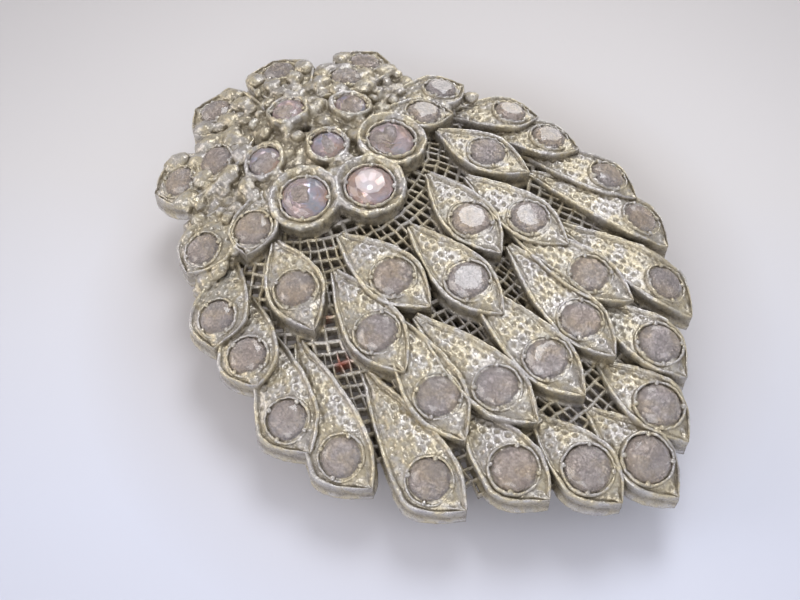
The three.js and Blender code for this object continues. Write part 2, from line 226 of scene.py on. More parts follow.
def sheet_steel(name, light, dark, rust):
    """Dulled steel with a fine grain, and rust-red patches; the lower rust is, the more of them."""
    material, nodes, links, shader = new_material(name, Metallic=0.85)
    patches = noise_texture(nodes, links, 220, 6.0, 0.65)
    grain = noise_texture(nodes, links, 2600, 2.0)
    steel = ramp(nodes, links, grain, [(0.35, dark), (0.65, light)])
    rusted = ramp(nodes, links, patches, [(rust, (0, 0, 0)), (rust + 0.07, (1, 1, 1))])
    links.new(mix(nodes, links, rusted, steel, (0.30, 0.07, 0.03)), shader.inputs["Base Color"])
    links.new(to_range(nodes, links, patches, 0.28, 0.7, 0.35, 0.7), shader.inputs["Roughness"])
    bump(nodes, links, shader, grain, 0.2, 0.00004)
    return material


def stone_glass():
    """Slightly milky glass, in wide patches of pink and lilac grey."""
    material, nodes, links, shader = new_material(
        "stone_glass", Roughness=0.03, IOR=1.55, Transmission_Weight=0.86,
    )
    haze = noise_texture(nodes, links, 260, 1.0)
    tint = ramp(nodes, links, haze, [(0.40, (0.90, 0.80, 0.77)), (0.60, (0.84, 0.79, 0.83))])
    links.new(tint, shader.inputs["Base Color"])
    return material


def stone_foil():
    """The dulled mirror behind a stone: pale pink, and where the mesh attribute "fire" is high, also
    with patches of blue, lilac and orange."""
    material, nodes, links, shader = new_material("stone_foil", Metallic=0.6)
    fire = add_node(nodes, "ShaderNodeAttribute", attribute_name="fire").outputs["Fac"]
    drift = noise_texture(nodes, links, 520, 1.0, 0.5)
    mottle = noise_texture(nodes, links, 480, 0.0, 0.4)
    plain = ramp(nodes, links, mottle, [
        (0.30, (0.84, 0.72, 0.68)), (0.45, (0.92, 0.83, 0.81)), (0.55, (0.93, 0.86, 0.88)),
        (0.70, (0.96, 0.87, 0.80)),
    ])
    flashes = ramp(nodes, links, drift, [
        (0.34, (0.96, 0.70, 0.52)), (0.39, (0.66, 0.50, 0.50)), (0.46, (0.88, 0.78, 0.82)),
        (0.52, (0.76, 0.68, 0.74)), (0.57, (0.74, 0.76, 0.99)), (0.63, (0.55, 0.74, 0.98)),
        (0.70, (0.88, 0.78, 0.84)),
    ])
    links.new(mix(nodes, links, fire, plain, flashes), shader.inputs["Base Color"])
    links.new(to_range(nodes, links, mottle, 0.10, 0.24), shader.inputs["Roughness"])
    return material


def table_top():
    """Pale paper with painted light on it: warmer on the far side and bluer on the near one, a warm painted
    glow round the ornament, and darker away from it as painted light falloff.
    """
    material, nodes, links, shader = new_material("table_top", Roughness=0.8)
    place = nodes.get("Texture Coordinate") or nodes.new("ShaderNodeTexCoord")
    apart = nodes.new("ShaderNodeSeparateXYZ")
    links.new(place.outputs["Object"], apart.inputs["Vector"])
    nearness = add_node(nodes, "ShaderNodeMath", operation="SUBTRACT")
    links.new(apart.outputs["X"], nearness.inputs[0])
    links.new(apart.outputs["Y"], nearness.inputs[1])
    across = to_range(nodes, links, nearness.outputs["Value"], 0.0, 1.0, -75 * MM, 60 * MM)
    # Painted light: bluer towards the near side as under cool light, warmer and a little darker on the far
    # side.
    tint = ramp(nodes, links, across, [
        (0.0, (0.66, 0.64, 0.65)), (0.4, (0.70, 0.69, 0.715)), (0.8, (0.70, 0.73, 0.86)),
    ])
    distance = add_node(nodes, "ShaderNodeVectorMath", operation="LENGTH")
    links.new(place.outputs["Object"], distance.inputs[0])
    # Painted light: a warm glow round the ornament, reflected from it, and darker far from it as the light
    # falls off.
    painted_falloff_and_glow = ramp(nodes, links, to_range(nodes, links, distance.outputs["Value"], 0.0, 1.0, 0.0, 100 * MM), [
        (0.20, (1.0, 0.95, 0.88)), (0.34, (1.0, 1.0, 1.0)), (0.85, (0.62, 0.62, 0.635)),
    ])
    links.new(mix(nodes, links, 1.0, tint, painted_falloff_and_glow, "MULTIPLY"), shader.inputs["Base Color"])
    return material


CAST = cast_metal()
PLATE_STEEL = sheet_steel("plate_steel", (0.52, 0.49, 0.44), (0.36, 0.33, 0.29), 0.56)
SPRING_STEEL = sheet_steel("spring_steel_dull", (0.40, 0.35, 0.30), (0.22, 0.18, 0.15), 0.48)
GLASS = stone_glass()
FOIL = stone_foil()


# ---------- Mesh building ----------

HAND_FINISH = ((0.8, 0.09), (2.3, 0.05))  # how uneven the casting is: waves per millimetre, and how deep


def uneven(point):
    """Moves a point a little, as the hand-made model for the casting would have it."""
    shift = sum((noise.noise_vector(point * pitch) * depth for pitch, depth in HAND_FINISH), Vector())
    return point + shift


class Sculpt:
    """Collects closed shapes in millimetres, each vertex with a lightness from wear and painted shade, into
    one piece.
    """

    def __init__(self):
        self.points = []
        self.faces = []
        self.wear_and_shade = []

    def add(self, points, faces, wear_and_shade):
        start = len(self.points)
        self.points.extend(points)
        self.wear_and_shade.extend(wear_and_shade)
        self.faces.extend(tuple(start + i for i in face) for face in faces)

    def add_loft(self, places, wear_and_shade):
        """Closed rings, one row of the array each, joined in turn, with a face over each end."""
        rows, columns = wear_and_shade.shape
        faces = [
            (i * columns + j, i * columns + (j + 1) % columns,
             (i + 1) * columns + (j + 1) % columns, (i + 1) * columns + j)
            for i in range(rows - 1) for j in range(columns)
        ]
        faces.append(tuple(reversed(range(columns))))
        faces.append(tuple(range((rows - 1) * columns, rows * columns)))
        self.add([Vector(p) for p in places.reshape(-1, 3)], faces, wear_and_shade.ravel().tolist())

    def add_turned(self, profile, matrix, sides=40, ripple=0.0, ripples=16):
        """A closed profile of (radius, height, wear and painted shade) turned round the Z axis: a ring."""
        count = len(profile)
        points, faces, wear_and_shade = [], [], []
        for i in range(sides):
            angle = 2 * math.pi * i / sides
            wave = 1 + ripple * math.cos(ripples * angle)
            for radius, height, shine in profile:
                spot = (radius * math.cos(angle), radius * math.sin(angle), height * wave)
                points.append(matrix @ Vector(spot))
                wear_and_shade.append(shine)
            following = (i + 1) % sides
            for j in range(count):
                k = (j + 1) % count
                faces.append((i * count + j, following * count + j, following * count + k, i * count + k))
        self.add(points, faces, wear_and_shade)

    def add_lump(self, matrix, radii, shine=0.9, rings=8, sides=12):
        """A stretched ball, with painted shade darkening its foot."""
        points, wear_and_shade = [Vector((0, 0, radii[2]))], [shine]
        for i in range(1, rings):
            tilt = math.pi * i / rings
            for j in range(sides):
                turn = 2 * math.pi * j / sides
                points.append(Vector((
                    radii[0] * math.sin(tilt) * math.cos(turn),
                    radii[1] * math.sin(tilt) * math.sin(turn),
                    radii[2] * math.cos(tilt),
                )))
                wear_and_shade.append(shine * max(0.1, math.cos(0.8 * tilt)))
        points.append(Vector((0, 0, -radii[2])))
        wear_and_shade.append(0.1)
        last = len(points) - 1
        faces = [(0, 1 + j, 1 + (j + 1) % sides) for j in range(sides)]
        for i in range(rings - 2):
            for j in range(sides):
                a, b = 1 + i * sides + j, 1 + i * sides + (j + 1) % sides
                faces.append((a, a + sides, b + sides, b))
        foot = 1 + (rings - 2) * sides
        faces += [(last, foot + (j + 1) % sides, foot + j) for j in range(sides)]
        self.add([matrix @ p for p in points], faces, wear_and_shade)

    def piece(self, name, material, rust=()):
        """The collected shapes as one object; rust is a list of places with red spots."""
        mesh = bpy.data.meshes.new(name)
        mesh.from_pydata([uneven(p) * MM for p in self.points], [], self.faces)
        mesh.attributes.new("wear_and_shade", "FLOAT", "POINT").data.foreach_set("value", self.wear_and_shade)
        spots = [rustiness(p, rust) for p in self.points]
        mesh.attributes.new("rust", "FLOAT", "POINT").data.foreach_set("value", spots)
        mesh.materials.append(material)
        mesh.shade_smooth()
        made = bpy.data.objects.new(name, mesh)
        bpy.context.scene.collection.objects.link(made)
        return made


def rustiness(point, spots, reach=0.9):
    near = min((math.hypot(point.x - x, point.y - y) for x, y in spots), default=reach)
    return max(0.0, 1 - near / reach)


def settle(piece):
    """Turns a piece and its modifiers into one plain mesh, with every face outwards."""
    shown = piece.evaluated_get(bpy.context.evaluated_depsgraph_get())
    mesh = bpy.data.meshes.new_from_object(shown)
    piece.modifiers.clear()
    piece.data = mesh
    body = bmesh.new()
    body.from_mesh(mesh)
    bmesh.ops.recalc_face_normals(body, faces=body.faces)
    body.to_mesh(mesh)
    body.free()
    return piece


CRUST = ((1.1, 0.14), (2.6, 0.07))  # the head's rough skin: waves per millimetre, and how high
CRUST_SHADE = 3.0  # how much darker it is painted for each millimetre down: painted shade in the pits


def fuse(piece, voxel=0.14):
    """Melts a piece's lumps into one rough skin, with the wear and painted shade of the nearest old point,
    and darker in its pits.
    """
    old = piece.data
    tree = KDTree(len(old.vertices))
    for vertex in old.vertices:
        tree.insert(vertex.co, vertex.index)
    tree.balance()
    wear_and_shade = [item.value for item in old.attributes["wear_and_shade"].data]
    skin = piece.modifiers.new("skin", "REMESH")
    skin.mode = "VOXEL"
    skin.voxel_size = voxel * MM
    smoother = piece.modifiers.new("smooth", "SMOOTH")
    smoother.factor = 0.5
    smoother.iterations = 3
    settle(piece)
    values, moved = [], []
    for vertex in piece.data.vertices:
        place = vertex.co / MM
        pitted = sum(noise.noise(place * pitch) * depth for pitch, depth in CRUST)
        values.append(max(0.0, min(1.0, wear_and_shade[tree.find(vertex.co)[1]] + CRUST_SHADE * pitted)))
        moved.extend(vertex.co + vertex.normal * pitted * MM)
    piece.data.vertices.foreach_set("co", moved)
    piece.data.attributes.new("wear_and_shade", "FLOAT", "POINT").data.foreach_set("value", values)
    piece.data.shade_smooth()
    return piece


# ---------- Places of the petals and stones, from the CAD's stones ----------

STEM_HALF_WIDTH = 0.4
RIM_CURL = 25.0  # how far a rim petal's tip bends round, in degrees, at most
CURL_ENDS = 66.0  # degrees from the tail from which the rim petals are straight again
LONG_PETALS_END = 60.0  # degrees from the tail up to which the middle petals are long
RIM_STEM_DROP = 1.6  # how far a petal's stem sinks towards the lattice at its end
MIDDLE_STEM_DROP = 0.5
# The headings of the middle tier's petals, stone by stone from the tail, as in the CAD.
MIDDLE_HEADINGS = (0, 0, *(turn for turn in (-4, 13, 9, -6, 18, 50, 101) for _ in "+-"))


def rim_petal(away):
    """A rim petal's lengths and angles, from how many degrees it stands from the tail.

    The stems are longest where away is 29 degrees; towards the head the petals widen and their tips shorten.
    """
    return {
        "width": 5.4 + 1.8 * (away / 160) ** 2,
        "stem": 6.5 + 5.5 * max(0.0, 1 - ((away - 29) / 17) ** 2),
        "tip": 3.7 - 1.1 * min(1.0, away / 70) ** 1.5,
        "heading": away - 14 * max(0.0, math.sin(2 * math.radians(away))),
        "curl": RIM_CURL * math.sin(math.pi * min(away, CURL_ENDS) / CURL_ENDS),
        "stem_drop": RIM_STEM_DROP,
    }


def middle_petal(away, x, heading):
    """A middle petal's lengths and angles: long in front of the crown, short beside and behind it."""
    long_petal = {"width": 5.25, "stem": 6.4 + 0.22 * x, "tip": 4.5}
    short_petal = {"width": 4.8, "stem": 4.2, "tip": 2.8}
    shape = long_petal if away < LONG_PETALS_END else short_petal
    return {**shape, "heading": heading, "curl": 0.0, "stem_drop": MIDDLE_STEM_DROP}


def stones_named(prefix):
    """Places and sizes of the CAD's stones with this name, in the order of their numbers."""
    found = []
    for node in sorted(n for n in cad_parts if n.startswith(prefix)):
        low, high = (Vector(corner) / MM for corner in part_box(node))
        centre = (low + high) / 2
        radius = max(high.x - low.x, high.y - low.y) / 2
        away = math.degrees(math.atan2(abs(centre.y), centre.x - CROWN_X))
        side = 0 if abs(centre.y) < 0.1 else math.copysign(1, centre.y)
        found.append({"node": node, "x": centre.x, "y": centre.y, "radius": radius, "away": away,
                      "side": side})
    return found


def petals_of(places, shapes):
    """Adds each petal's own shape to its stone's place, with its angles in radians."""
    for place, shape in zip(places, shapes):
        turned = {key: place["side"] * math.radians(shape[key]) for key in ("heading", "curl")}
        place.update({**shape, **turned})
    return places


# ---------- The casting ----------

LIP = 0.32  # how high a petal's edge stands over the stone's girdle
GROUND = -0.05  # height of the ground inside the edge
PILLOW = 0.22  # how much the ground swells along the middle of the petal
PETAL_BOTTOM = -2.0
THINNEST_HALF = 0.04  # of a petal, at its two ends
FULL_EDGE_HALF = 0.85  # where half the width is less than this, the edge gets narrower and lower
EDGE_FOOT = -0.4  # the part of the edge under this height keeps its height
PIT_PITCH = 0.86
PIT_ROW_PITCH = 0.88 * PIT_PITCH
PIT_RADIUS = 0.27
PIT_DEPTH = 0.13
PIT_RIM = 0.05
PIT_MARGIN = 0.45  # between a pit's middle and the petal's edge
PIT_START = 0.75  # from the stone's edge to the first row
PIT_END = 0.5  # from the last row to the end of the stem
PIT_SHIFT = 0.1  # how far a pit strays from its row
# A petal's edge from its underside, up over a ledge, a groove and the outer wall, and over the lip to
# the ground inside: distance in from the outline, height over the girdle, and lightness from wear and
# painted shade: bright on the rubbed lip, dark on the underside, groove and wall as painted shade.
EDGE = [
    (0.30, PETAL_BOTTOM, 0.1), (-0.05, PETAL_BOTTOM + 0.05, 0.3), (-0.16, -1.75, 0.75), (-0.14, -1.52, 0.85),
    (-0.02, -1.38, 0.6), (0.12, -1.22, 0.15), (0.13, -0.95, 0.15), (0.05, -0.72, 0.35), (0.0, -0.3, 0.45),
    (-0.02, 0.06, 0.7), (0.04, 0.25, 1.0), (0.17, LIP, 1.0), (0.30, 0.22, 0.9), (0.40, 0.08, 0.55),
    (0.48, GROUND, 0.4),
]


def half_width(u, petal):
    """Half of the petal's width at a distance u from its stone, towards the tip."""
    half = petal["width"] / 2
    share = np.clip(1 + u / petal["stem"], 0, 1)
    behind = STEM_HALF_WIDTH + (half - STEM_HALF_WIDTH) * np.sin(0.5 * math.pi * share)
    ahead = half * (1 - np.clip(u / petal["tip"], 0, 1) ** 1.75) ** 0.9
    return np.maximum(THINNEST_HALF, np.where(u < 0, behind, ahead))


def pits_of(petal):
    """Centres of the petal's little pits: rows down the stem, two beside the stone, and one at the tip."""
    pits = []
    u = -petal["radius"] - PIT_START
    while u > PIT_END - petal["stem"]:
        room = 2 * (float(half_width(u, petal)) - PIT_MARGIN)
        count = max(1, int(room / PIT_PITCH))
        for i in range(count):
            shift = dice.uniform(-PIT_SHIFT, PIT_SHIFT)
            pits.append((u + shift, (i - (count - 1) / 2) * PIT_PITCH + shift))
        u -= PIT_ROW_PITCH
    beside = petal["radius"] * 0.72 + PIT_MARGIN
    pits += [(-beside - 0.1, beside + 0.15), (-beside - 0.1, -beside - 0.15)]
    pits.append((petal["radius"] + 0.8, 0.0))
    return pits


def dents(u, v, pits):
    """How deep the ground is pressed in at each point, 0 to 1, and how high the pits' rims stand."""
    depth = np.zeros_like(u)
    rims = np.zeros_like(u)
    for pit_u, pit_v in pits:
        gap = np.hypot(u - pit_u, v - pit_v) / PIT_RADIUS
        depth = np.maximum(depth, np.clip(1 - gap * gap, 0, 1) ** 1.3)
        rims = np.maximum(rims, np.exp(-(((gap - 1.25) / 0.28) ** 2)))
    return depth, rims


def add_petal(sculpt, petal, stations=84, inner=35):
    """One drop with a stepped wall, a bright lip and a pitted ground, bent round and laid on the dome."""
    stem, tip = petal["stem"], petal["tip"]
    u = np.linspace(-stem, tip, stations)[:, None]
    half = half_width(u, petal)
    tightness = np.minimum(1, half / FULL_EDGE_HALF)
    insets, heights, shines = (np.array(values)[None, :] for values in zip(*EDGE))
    edge_v = half - insets * tightness
    edge_z = np.where(heights < EDGE_FOOT, heights, LIP + (heights - LIP) * tightness)
    across = np.linspace(1, -1, inner)[None, 1:-1]
    ground_v = edge_v[:, -1:] * across
    depth, rims = dents(u + 0 * ground_v, ground_v, pits_of(petal))
    ground_z = edge_z[:, -1:] + tightness * (
        PILLOW * (1 - across ** 2) - PIT_DEPTH * depth + PIT_RIM * rims)
    # The ground is lighter on the pits' rims and darker in the pits.
    ground_lightness = np.clip(0.62 + 0.35 * rims - 0.32 * depth, 0, 1)
    edge_wear_and_shade = shines + 0 * edge_v
    v = np.hstack([edge_v, ground_v, -edge_v[:, ::-1]])
    z = np.hstack([edge_z, ground_z, edge_z[:, ::-1]])
    wear_and_shade = np.hstack([edge_wear_and_shade, ground_lightness, edge_wear_and_shade[:, ::-1]])
    v = v - math.tan(petal["curl"]) * np.maximum(0, u) * (u / tip)
    x = petal["x"] + u * math.cos(petal["heading"]) - v * math.sin(petal["heading"])
    y = petal["y"] + u * math.sin(petal["heading"]) + v * math.cos(petal["heading"])
    z = z + girdle_height(x, y) - petal["stem_drop"] * np.maximum(0, -u / stem) ** 1.4
    sculpt.add_loft(np.stack([x, y, z], axis=-1), wear_and_shade)


CUP_TEETH = 16
CUP_GRAINS = 4
GRAIN_RADII = (0.28, 0.24, 0.22)


def add_cup(sculpt, place):
    """The milled ring that holds a stone, and the grains pressed over its girdle."""
    radius = place["radius"]
    # The third values: bright on the top of the ring, and dark low down as painted shade.
    profile = [
        (radius + 0.02, -0.75, 0.05), (radius + 0.02, 0.0, 0.3), (radius + 0.07, 0.17, 0.95),
        (radius + 0.18, 0.20, 1.0), (radius + 0.3, 0.06, 0.4), (radius + 0.36, -0.75, 0.05),
    ]
    sculpt.add_turned(profile, on_dome(place["x"], place["y"]), sides=64, ripple=0.35,
                      ripples=CUP_TEETH)
    for i in range(CUP_GRAINS):
        turn = place.get("heading", 0.0) + math.radians(45 + 90 * i)
        stand = on_dome(place["x"], place["y"], turn) @ Matrix.Translation((radius + 0.03, 0, 0.12))
        sculpt.add_lump(stand, GRAIN_RADII)


def add_cheeks(sculpt, petal):
    """The wide petals of the head swell up on each side of the stone and behind it."""
    stand = on_dome(petal["x"], petal["y"], petal["heading"])
    for side in (-1, 1):
        reach = petal["radius"] + 0.85
        for ahead, out, long, wide in ((-0.2, reach, 1.5, 1.0), (-2.5, 1.2, 1.2, 1.0)):
            spot = Matrix.Translation((ahead, side * out, -0.1))
            sculpt.add_lump(stand @ spot, (long, wide, 0.6), shine=0.8)


LARGE_STONE = 2.0  # the least radius of the crown's large stones
LARGE_COLLAR = 1.2  # width of the collar round a large stone
SMALL_COLLAR = 0.5


def add_collar(sculpt, place, width):
    """A dished collar with a bright rolled rim round a stone of the crown."""
    radius = place["radius"]
    outer = radius + width
    # The third values: bright on the rolled rim, and dark low down and next to the stone as painted shade.
    profile = [
        (outer - 0.15, PETAL_BOTTOM, 0.1), (outer + 0.1, -1.2, 0.25), (outer, -0.45, 0.15),
        (outer + 0.04, 0.1, 0.7), (outer - 0.06, 0.36, 1.0), (outer - 0.22, 0.45, 1.0),
        (outer - 0.4, 0.34, 0.8), (radius + 0.32 * width, -0.1, 0.3), (radius + 0.12, -0.2, 0.1),
        (radius + 0.02, -0.8, 0.05),
    ]
    sculpt.add_turned(profile, on_dome(place["x"], place["y"]), sides=56)


BEAD_PITCH = 1.9
BEAD_ROWS = range(-18, 19)
BEAD_COLUMNS = range(-18, 16)
BEAD_WOBBLE = 0.4  # how far a lump strays from its place
BEAD_SIZES = (0.6, 1.15)
BEADS_END_SHARE = 0.97  # of the way from the dome's middle to the line of the rim stones
HEAD_GROUND_X = -11.0  # from here to the head the ground is solid and covered in beads
CHEEKS_START = 100.0  # degrees from the tail from which the petals have swollen cheeks


def add_beads(sculpt, taken):
    """Lumps of many sizes over the head's ground, wherever there is no stone."""
    for row in BEAD_ROWS:
        for column in BEAD_COLUMNS:
            x = CROWN_X + BEAD_PITCH * (column + 0.5 * (row % 2))
            x += dice.uniform(-BEAD_WOBBLE, BEAD_WOBBLE)
            y = 0.87 * BEAD_PITCH * row + dice.uniform(-BEAD_WOBBLE, BEAD_WOBBLE)
            size = dice.uniform(*BEAD_SIZES)
            gap = min(math.hypot(x - p["x"], y - p["y"]) - p["radius"] for p in taken)
            if gap > 0.6 * size and x < HEAD_GROUND_X and dome_share(x, y) < BEADS_END_SHARE:
                stand = on_dome(x, y, dice.uniform(0, math.pi))
                lift = Matrix.Translation((0, 0, dice.uniform(-0.5, -0.15)))
                sculpt.add_lump(stand @ lift, (size, 0.75 * size, 0.5), shine=0.7)


LATTICE_DROP = 1.5  # how far its top lies under the stones' girdles
LATTICE_DEPTH = 1.1
HEAD_GROUND_DROP = 0.6  # the same, for the solid ground of the head
HEAD_GROUND_DEPTH = 1.2
HEAD_LUMPS = (0.55, 0.7)  # waves per millimetre, and how high
CELL = 1.12  # between one ring of the lattice and the next
CELL_LENGTH = 1.35 * CELL  # along a ring, at most
CELL_WOBBLE = 0.12  # how far a crossing strays from its place
LATTICE_REACH = 46
LATTICE_END_SHARE = 1.02  # of the way from the dome's middle to the line of the rim stones
TAIL_BEND = 0.35  # how far the wires across the rings bend towards the tail, in radians
TAIL_BEND_REACH = 40
WIRE_SHARE = 0.33  # of the way from a cell's edge to its middle that is metal
WIRE_RIDGE = 0.08  # half of how far the middle of a wire stands over its sides
WIRE_ROUNDING = 0.07
RUST_SPOTS = ((-1.4, -11.2), (3.4, -12.7), (8.5, -6.6))


@functools.cache
def lattice_cells():
    """Points of rings round the dome's middle that bend towards the tail, and the cells between them."""
    points, rows, cells = [], [], []
    for radius in np.arange(0.9, LATTICE_REACH, CELL):
        count = 6 * 2 ** max(0, math.ceil(math.log2(2 * math.pi * radius / (6 * CELL_LENGTH))))
        rows.append((len(points), count))
        for i in range(count):
            angle = 2 * math.pi * i / count
            bent = angle - TAIL_BEND * min(1.0, radius / TAIL_BEND_REACH) * math.sin(angle)
            bent += dice.uniform(-CELL_WOBBLE, CELL_WOBBLE) * CELL / radius
            reach = radius + dice.uniform(-CELL_WOBBLE, CELL_WOBBLE)
            points.append((CROWN_X + reach * math.cos(bent), reach * math.sin(bent)))
    for (start, count), (next_start, next_count) in zip(rows, rows[1:]):
        split = next_count // count
        for i in range(count):
            outer = [next_start + (split * i + k) % next_count for k in range(split + 1)]
            cells.append([start + (i + 1) % count, start + i, *outer])
    flat = np.array(points)
    inside = dome_share(flat[:, 0], flat[:, 1]) < LATTICE_END_SHARE
    return flat, [cell for cell in cells if all(inside[k] for k in cell)]


def lattice_piece():
    """The pierced part of the cast ground: square cells with ridged wires between them."""
    flat, cells = lattice_cells()
    cells = [cell for cell in cells if flat[cell, 0].mean() >= HEAD_GROUND_X]
    top = girdle_height(flat[:, 0], flat[:, 1]) - LATTICE_DROP
    points = [Vector((x, y, z + WIRE_RIDGE)) for (x, y), z in zip(flat, top)]
    points += [Vector((x, y, z - LATTICE_DEPTH)) for (x, y), z in zip(flat, top)]
    under = len(flat)
    faces, edges = [], set()
    for cell in cells:
        around = list(zip(cell, cell[1:] + cell[:1]))
        edges.update(around)
        middle = sum((points[k] for k in cell), Vector()) / len(cell)
        start = len(points)
        count = len(cell)
        for k in cell:
            spot = points[k].lerp(middle, WIRE_SHARE)
            points.append(spot - Vector((0, 0, 2 * WIRE_RIDGE)))
        points += [p - Vector((0, 0, LATTICE_DEPTH - 2 * WIRE_RIDGE)) for p in points[start:start + count]]
        for i, (a, b) in enumerate(around):
            inner_a, inner_b = start + i, start + (i + 1) % count
            faces.append((a, b, inner_b, inner_a))
            faces.append((inner_a, inner_b, inner_b + count, inner_a + count))
            faces.append((inner_a + count, inner_b + count, under + b, under + a))
    faces += [(b, a, under + a, under + b) for a, b in sorted(edges) if (b, a) not in edges]
    sculpt = Sculpt()
    used = sorted({k for face in faces for k in face})
    number = {k: i for i, k in enumerate(used)}
    # Bright on the wires' ridges; the underside black and the cells' walls half dark, as painted shade.
    wear_and_shade = [0.9 if k < under else 0.0 if k < 2 * under else 0.45 for k in used]
    sculpt.add([points[k] for k in used], [tuple(number[k] for k in face) for face in faces], wear_and_shade)
    piece = sculpt.piece("casting_lattice", CAST, RUST_SPOTS)
    rounder = piece.modifiers.new("round", "BEVEL")
    rounder.width = WIRE_ROUNDING * MM
    rounder.segments = 2
    return settle(piece)


def tier_piece(name, petals):
    """All the petals of one tier, with the cups of their stones."""
    sculpt = Sculpt()
    for petal in petals:
        add_petal(sculpt, petal)
        add_cup(sculpt, petal)
    return settle(sculpt.piece(name, CAST))


def head_ground(sculpt):
    """The solid, lumpy ground of the head, where the lattice isn't pierced."""
    flat, cells = lattice_cells()
    cells = [cell for cell in cells if flat[cell, 0].mean() < HEAD_GROUND_X]
    pitch, height = HEAD_LUMPS
    top = girdle_height(flat[:, 0], flat[:, 1]) - HEAD_GROUND_DROP
    lumps = [height * noise.noise(Vector((x, y, 0)) * pitch) for x, y in flat]
    points = [Vector((x, y, z + lump)) for (x, y), z, lump in zip(flat, top, lumps)]
    points += [Vector((x, y, z - HEAD_GROUND_DEPTH)) for (x, y), z in zip(flat, top)]
    under = len(flat)
    edges = {(a, b) for cell in cells for a, b in zip(cell, cell[1:] + cell[:1])}
    faces = [tuple(cell) for cell in cells] + [tuple(under + k for k in reversed(cell)) for cell in cells]
    faces += [(b, a, under + a, under + b) for a, b in sorted(edges) if (b, a) not in edges]
    used = sorted({k for face in faces for k in face})
    number = {k: i for i, k in enumerate(used)}
    # Half bright on top, and dark underneath as painted shade.
    wear_and_shade = [0.55 if k < under else 0.2 for k in used]
    sculpt.add([points[k] for k in used], [tuple(number[k] for k in face) for face in faces], wear_and_shade)


def crown_pieces(crown, stones):
    """The lumps and collars of the head, fused into one skin, and the crisp cups of the crown's stones."""
    lumps, cups = Sculpt(), Sculpt()
    for place in crown:
        add_collar(lumps, place, LARGE_COLLAR if place["radius"] > LARGE_STONE else SMALL_COLLAR)
        add_cup(cups, place)
    for place in stones:
        if place["away"] > CHEEKS_START and "tip" in place:
            add_cheeks(lumps, place)
    add_beads(lumps, stones)
    head_ground(lumps)
    skin = fuse(lumps.piece("casting_head", CAST))
    return [skin, settle(cups.piece("casting_crown_cups", CAST))]


POST_PLACES = (-8.0, 14.5)
POST_RADIUS = 1.5
POST_BOTTOM = 5.55
POST_HOLE = 0.55
POST_TOP_DROP = 0.4  # under the lattice's top


def post_piece():
    """The two posts under the dome that the clip's plate is riveted to, flared at the top."""
    sculpt = Sculpt()
    for x in POST_PLACES:
        top = float(girdle_height(x, 0)) - LATTICE_DROP - POST_TOP_DROP
        profile = [
            (POST_HOLE, POST_BOTTOM, 0.3), (POST_RADIUS - 0.08, POST_BOTTOM, 0.6),
            (POST_RADIUS, POST_BOTTOM + 0.1, 0.7), (POST_RADIUS, top - 0.7, 0.4),
            (POST_RADIUS + 0.6, top, 0.4), (POST_HOLE, top, 0.2),
        ]
        sculpt.add_turned(profile, Matrix.Translation((x, 0, 0)), sides=32)
    return settle(sculpt.piece("casting_posts", CAST))


def casting_pieces():
    """The pieces that together show the casting, and the places of all the stones."""
    rim = stones_named("rim_stone")
    petals_of(rim, [rim_petal(place["away"]) for place in rim])
    middle = stones_named("middle_stone")
    petals_of(middle, [middle_petal(place["away"], place["x"], heading)
                       for place, heading in zip(middle, MIDDLE_HEADINGS)])
    crown = stones_named("crown_stone")
    stones = [*rim, *middle, *crown]
    pieces = [
        tier_piece("casting_rim_petals", rim), tier_piece("casting_middle_petals", middle),
        *crown_pieces(crown, stones), lattice_piece(), post_piece(),
    ]
    return pieces, stones


# ---------- Stones ----------

FIRE_REACH = 34.0  # how far from the crown the stones still show coloured patches
STONE_FIT = 0.985  # of the CAD stone's radius, so that it stays clear of its cup
STONE_TILT = 4.0  # degrees, at most
FOIL_LEVEL = -0.04  # the faces under this height, as a share of the radius, are foiled


def stone_piece(place):
    """A round cut stone: table, kite facets, a girdle of sixteen sides, and a foiled blunt back."""
    radius = place["radius"] * STONE_FIT

    def ring(count, share, height, start):
        return [
            (share * radius * math.cos(start + 2 * math.pi * i / count),
             share * radius * math.sin(start + 2 * math.pi * i / count), height * radius)
            for i in range(count)
        ]

    eighth = math.pi / 8
    points = (ring(8, 0.66, 0.30, eighth) + ring(8, 0.88, 0.17, 0) + ring(16, 1.0, 0.0, 0)
              + ring(16, 1.0, -0.06, 0) + ring(16, 0.72, -0.26, eighth / 2) + ring(8, 0.36, -0.42, 0)
              + ring(8, 0.12, -0.47, eighth))
    tilt = Matrix.Rotation(math.radians(dice.uniform(-STONE_TILT, STONE_TILT)), 4, "X")
    matrix = on_dome(place["x"], place["y"], dice.uniform(0, math.pi)) @ tilt
    body = bmesh.new()
    for point in points:
        body.verts.new(point)
    bmesh.ops.convex_hull(body, input=body.verts)
    bmesh.ops.dissolve_limit(body, angle_limit=math.radians(1), verts=body.verts, edges=body.edges)
    bmesh.ops.recalc_face_normals(body, faces=body.faces)
    for face in body.faces:
        face.material_index = 1 if face.calc_center_median().z < FOIL_LEVEL * radius else 0
    body.transform(Matrix.Scale(MM, 4) @ matrix)
    mesh = bpy.data.meshes.new(place["node"] + "_cut")
    body.to_mesh(mesh)
    body.free()
    fire = max(0.0, 1 - math.hypot(place["x"] - CROWN_X, place["y"]) / FIRE_REACH)
    values = [min(1.0, fire * dice.uniform(0.8, 1.8))] * len(mesh.vertices)
    mesh.attributes.new("fire", "FLOAT", "POINT").data.foreach_set("value", values)
    mesh.materials.append(GLASS)
    mesh.materials.append(FOIL)
    piece = bpy.data.objects.new(place["node"] + "_cut", mesh)
    bpy.context.scene.collection.objects.link(piece)
    return piece


# ---------- Assembly ----------


casting, stone_places = casting_pieces()
for piece in casting:
    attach(piece, "ornament")
    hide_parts("ornament_casting")

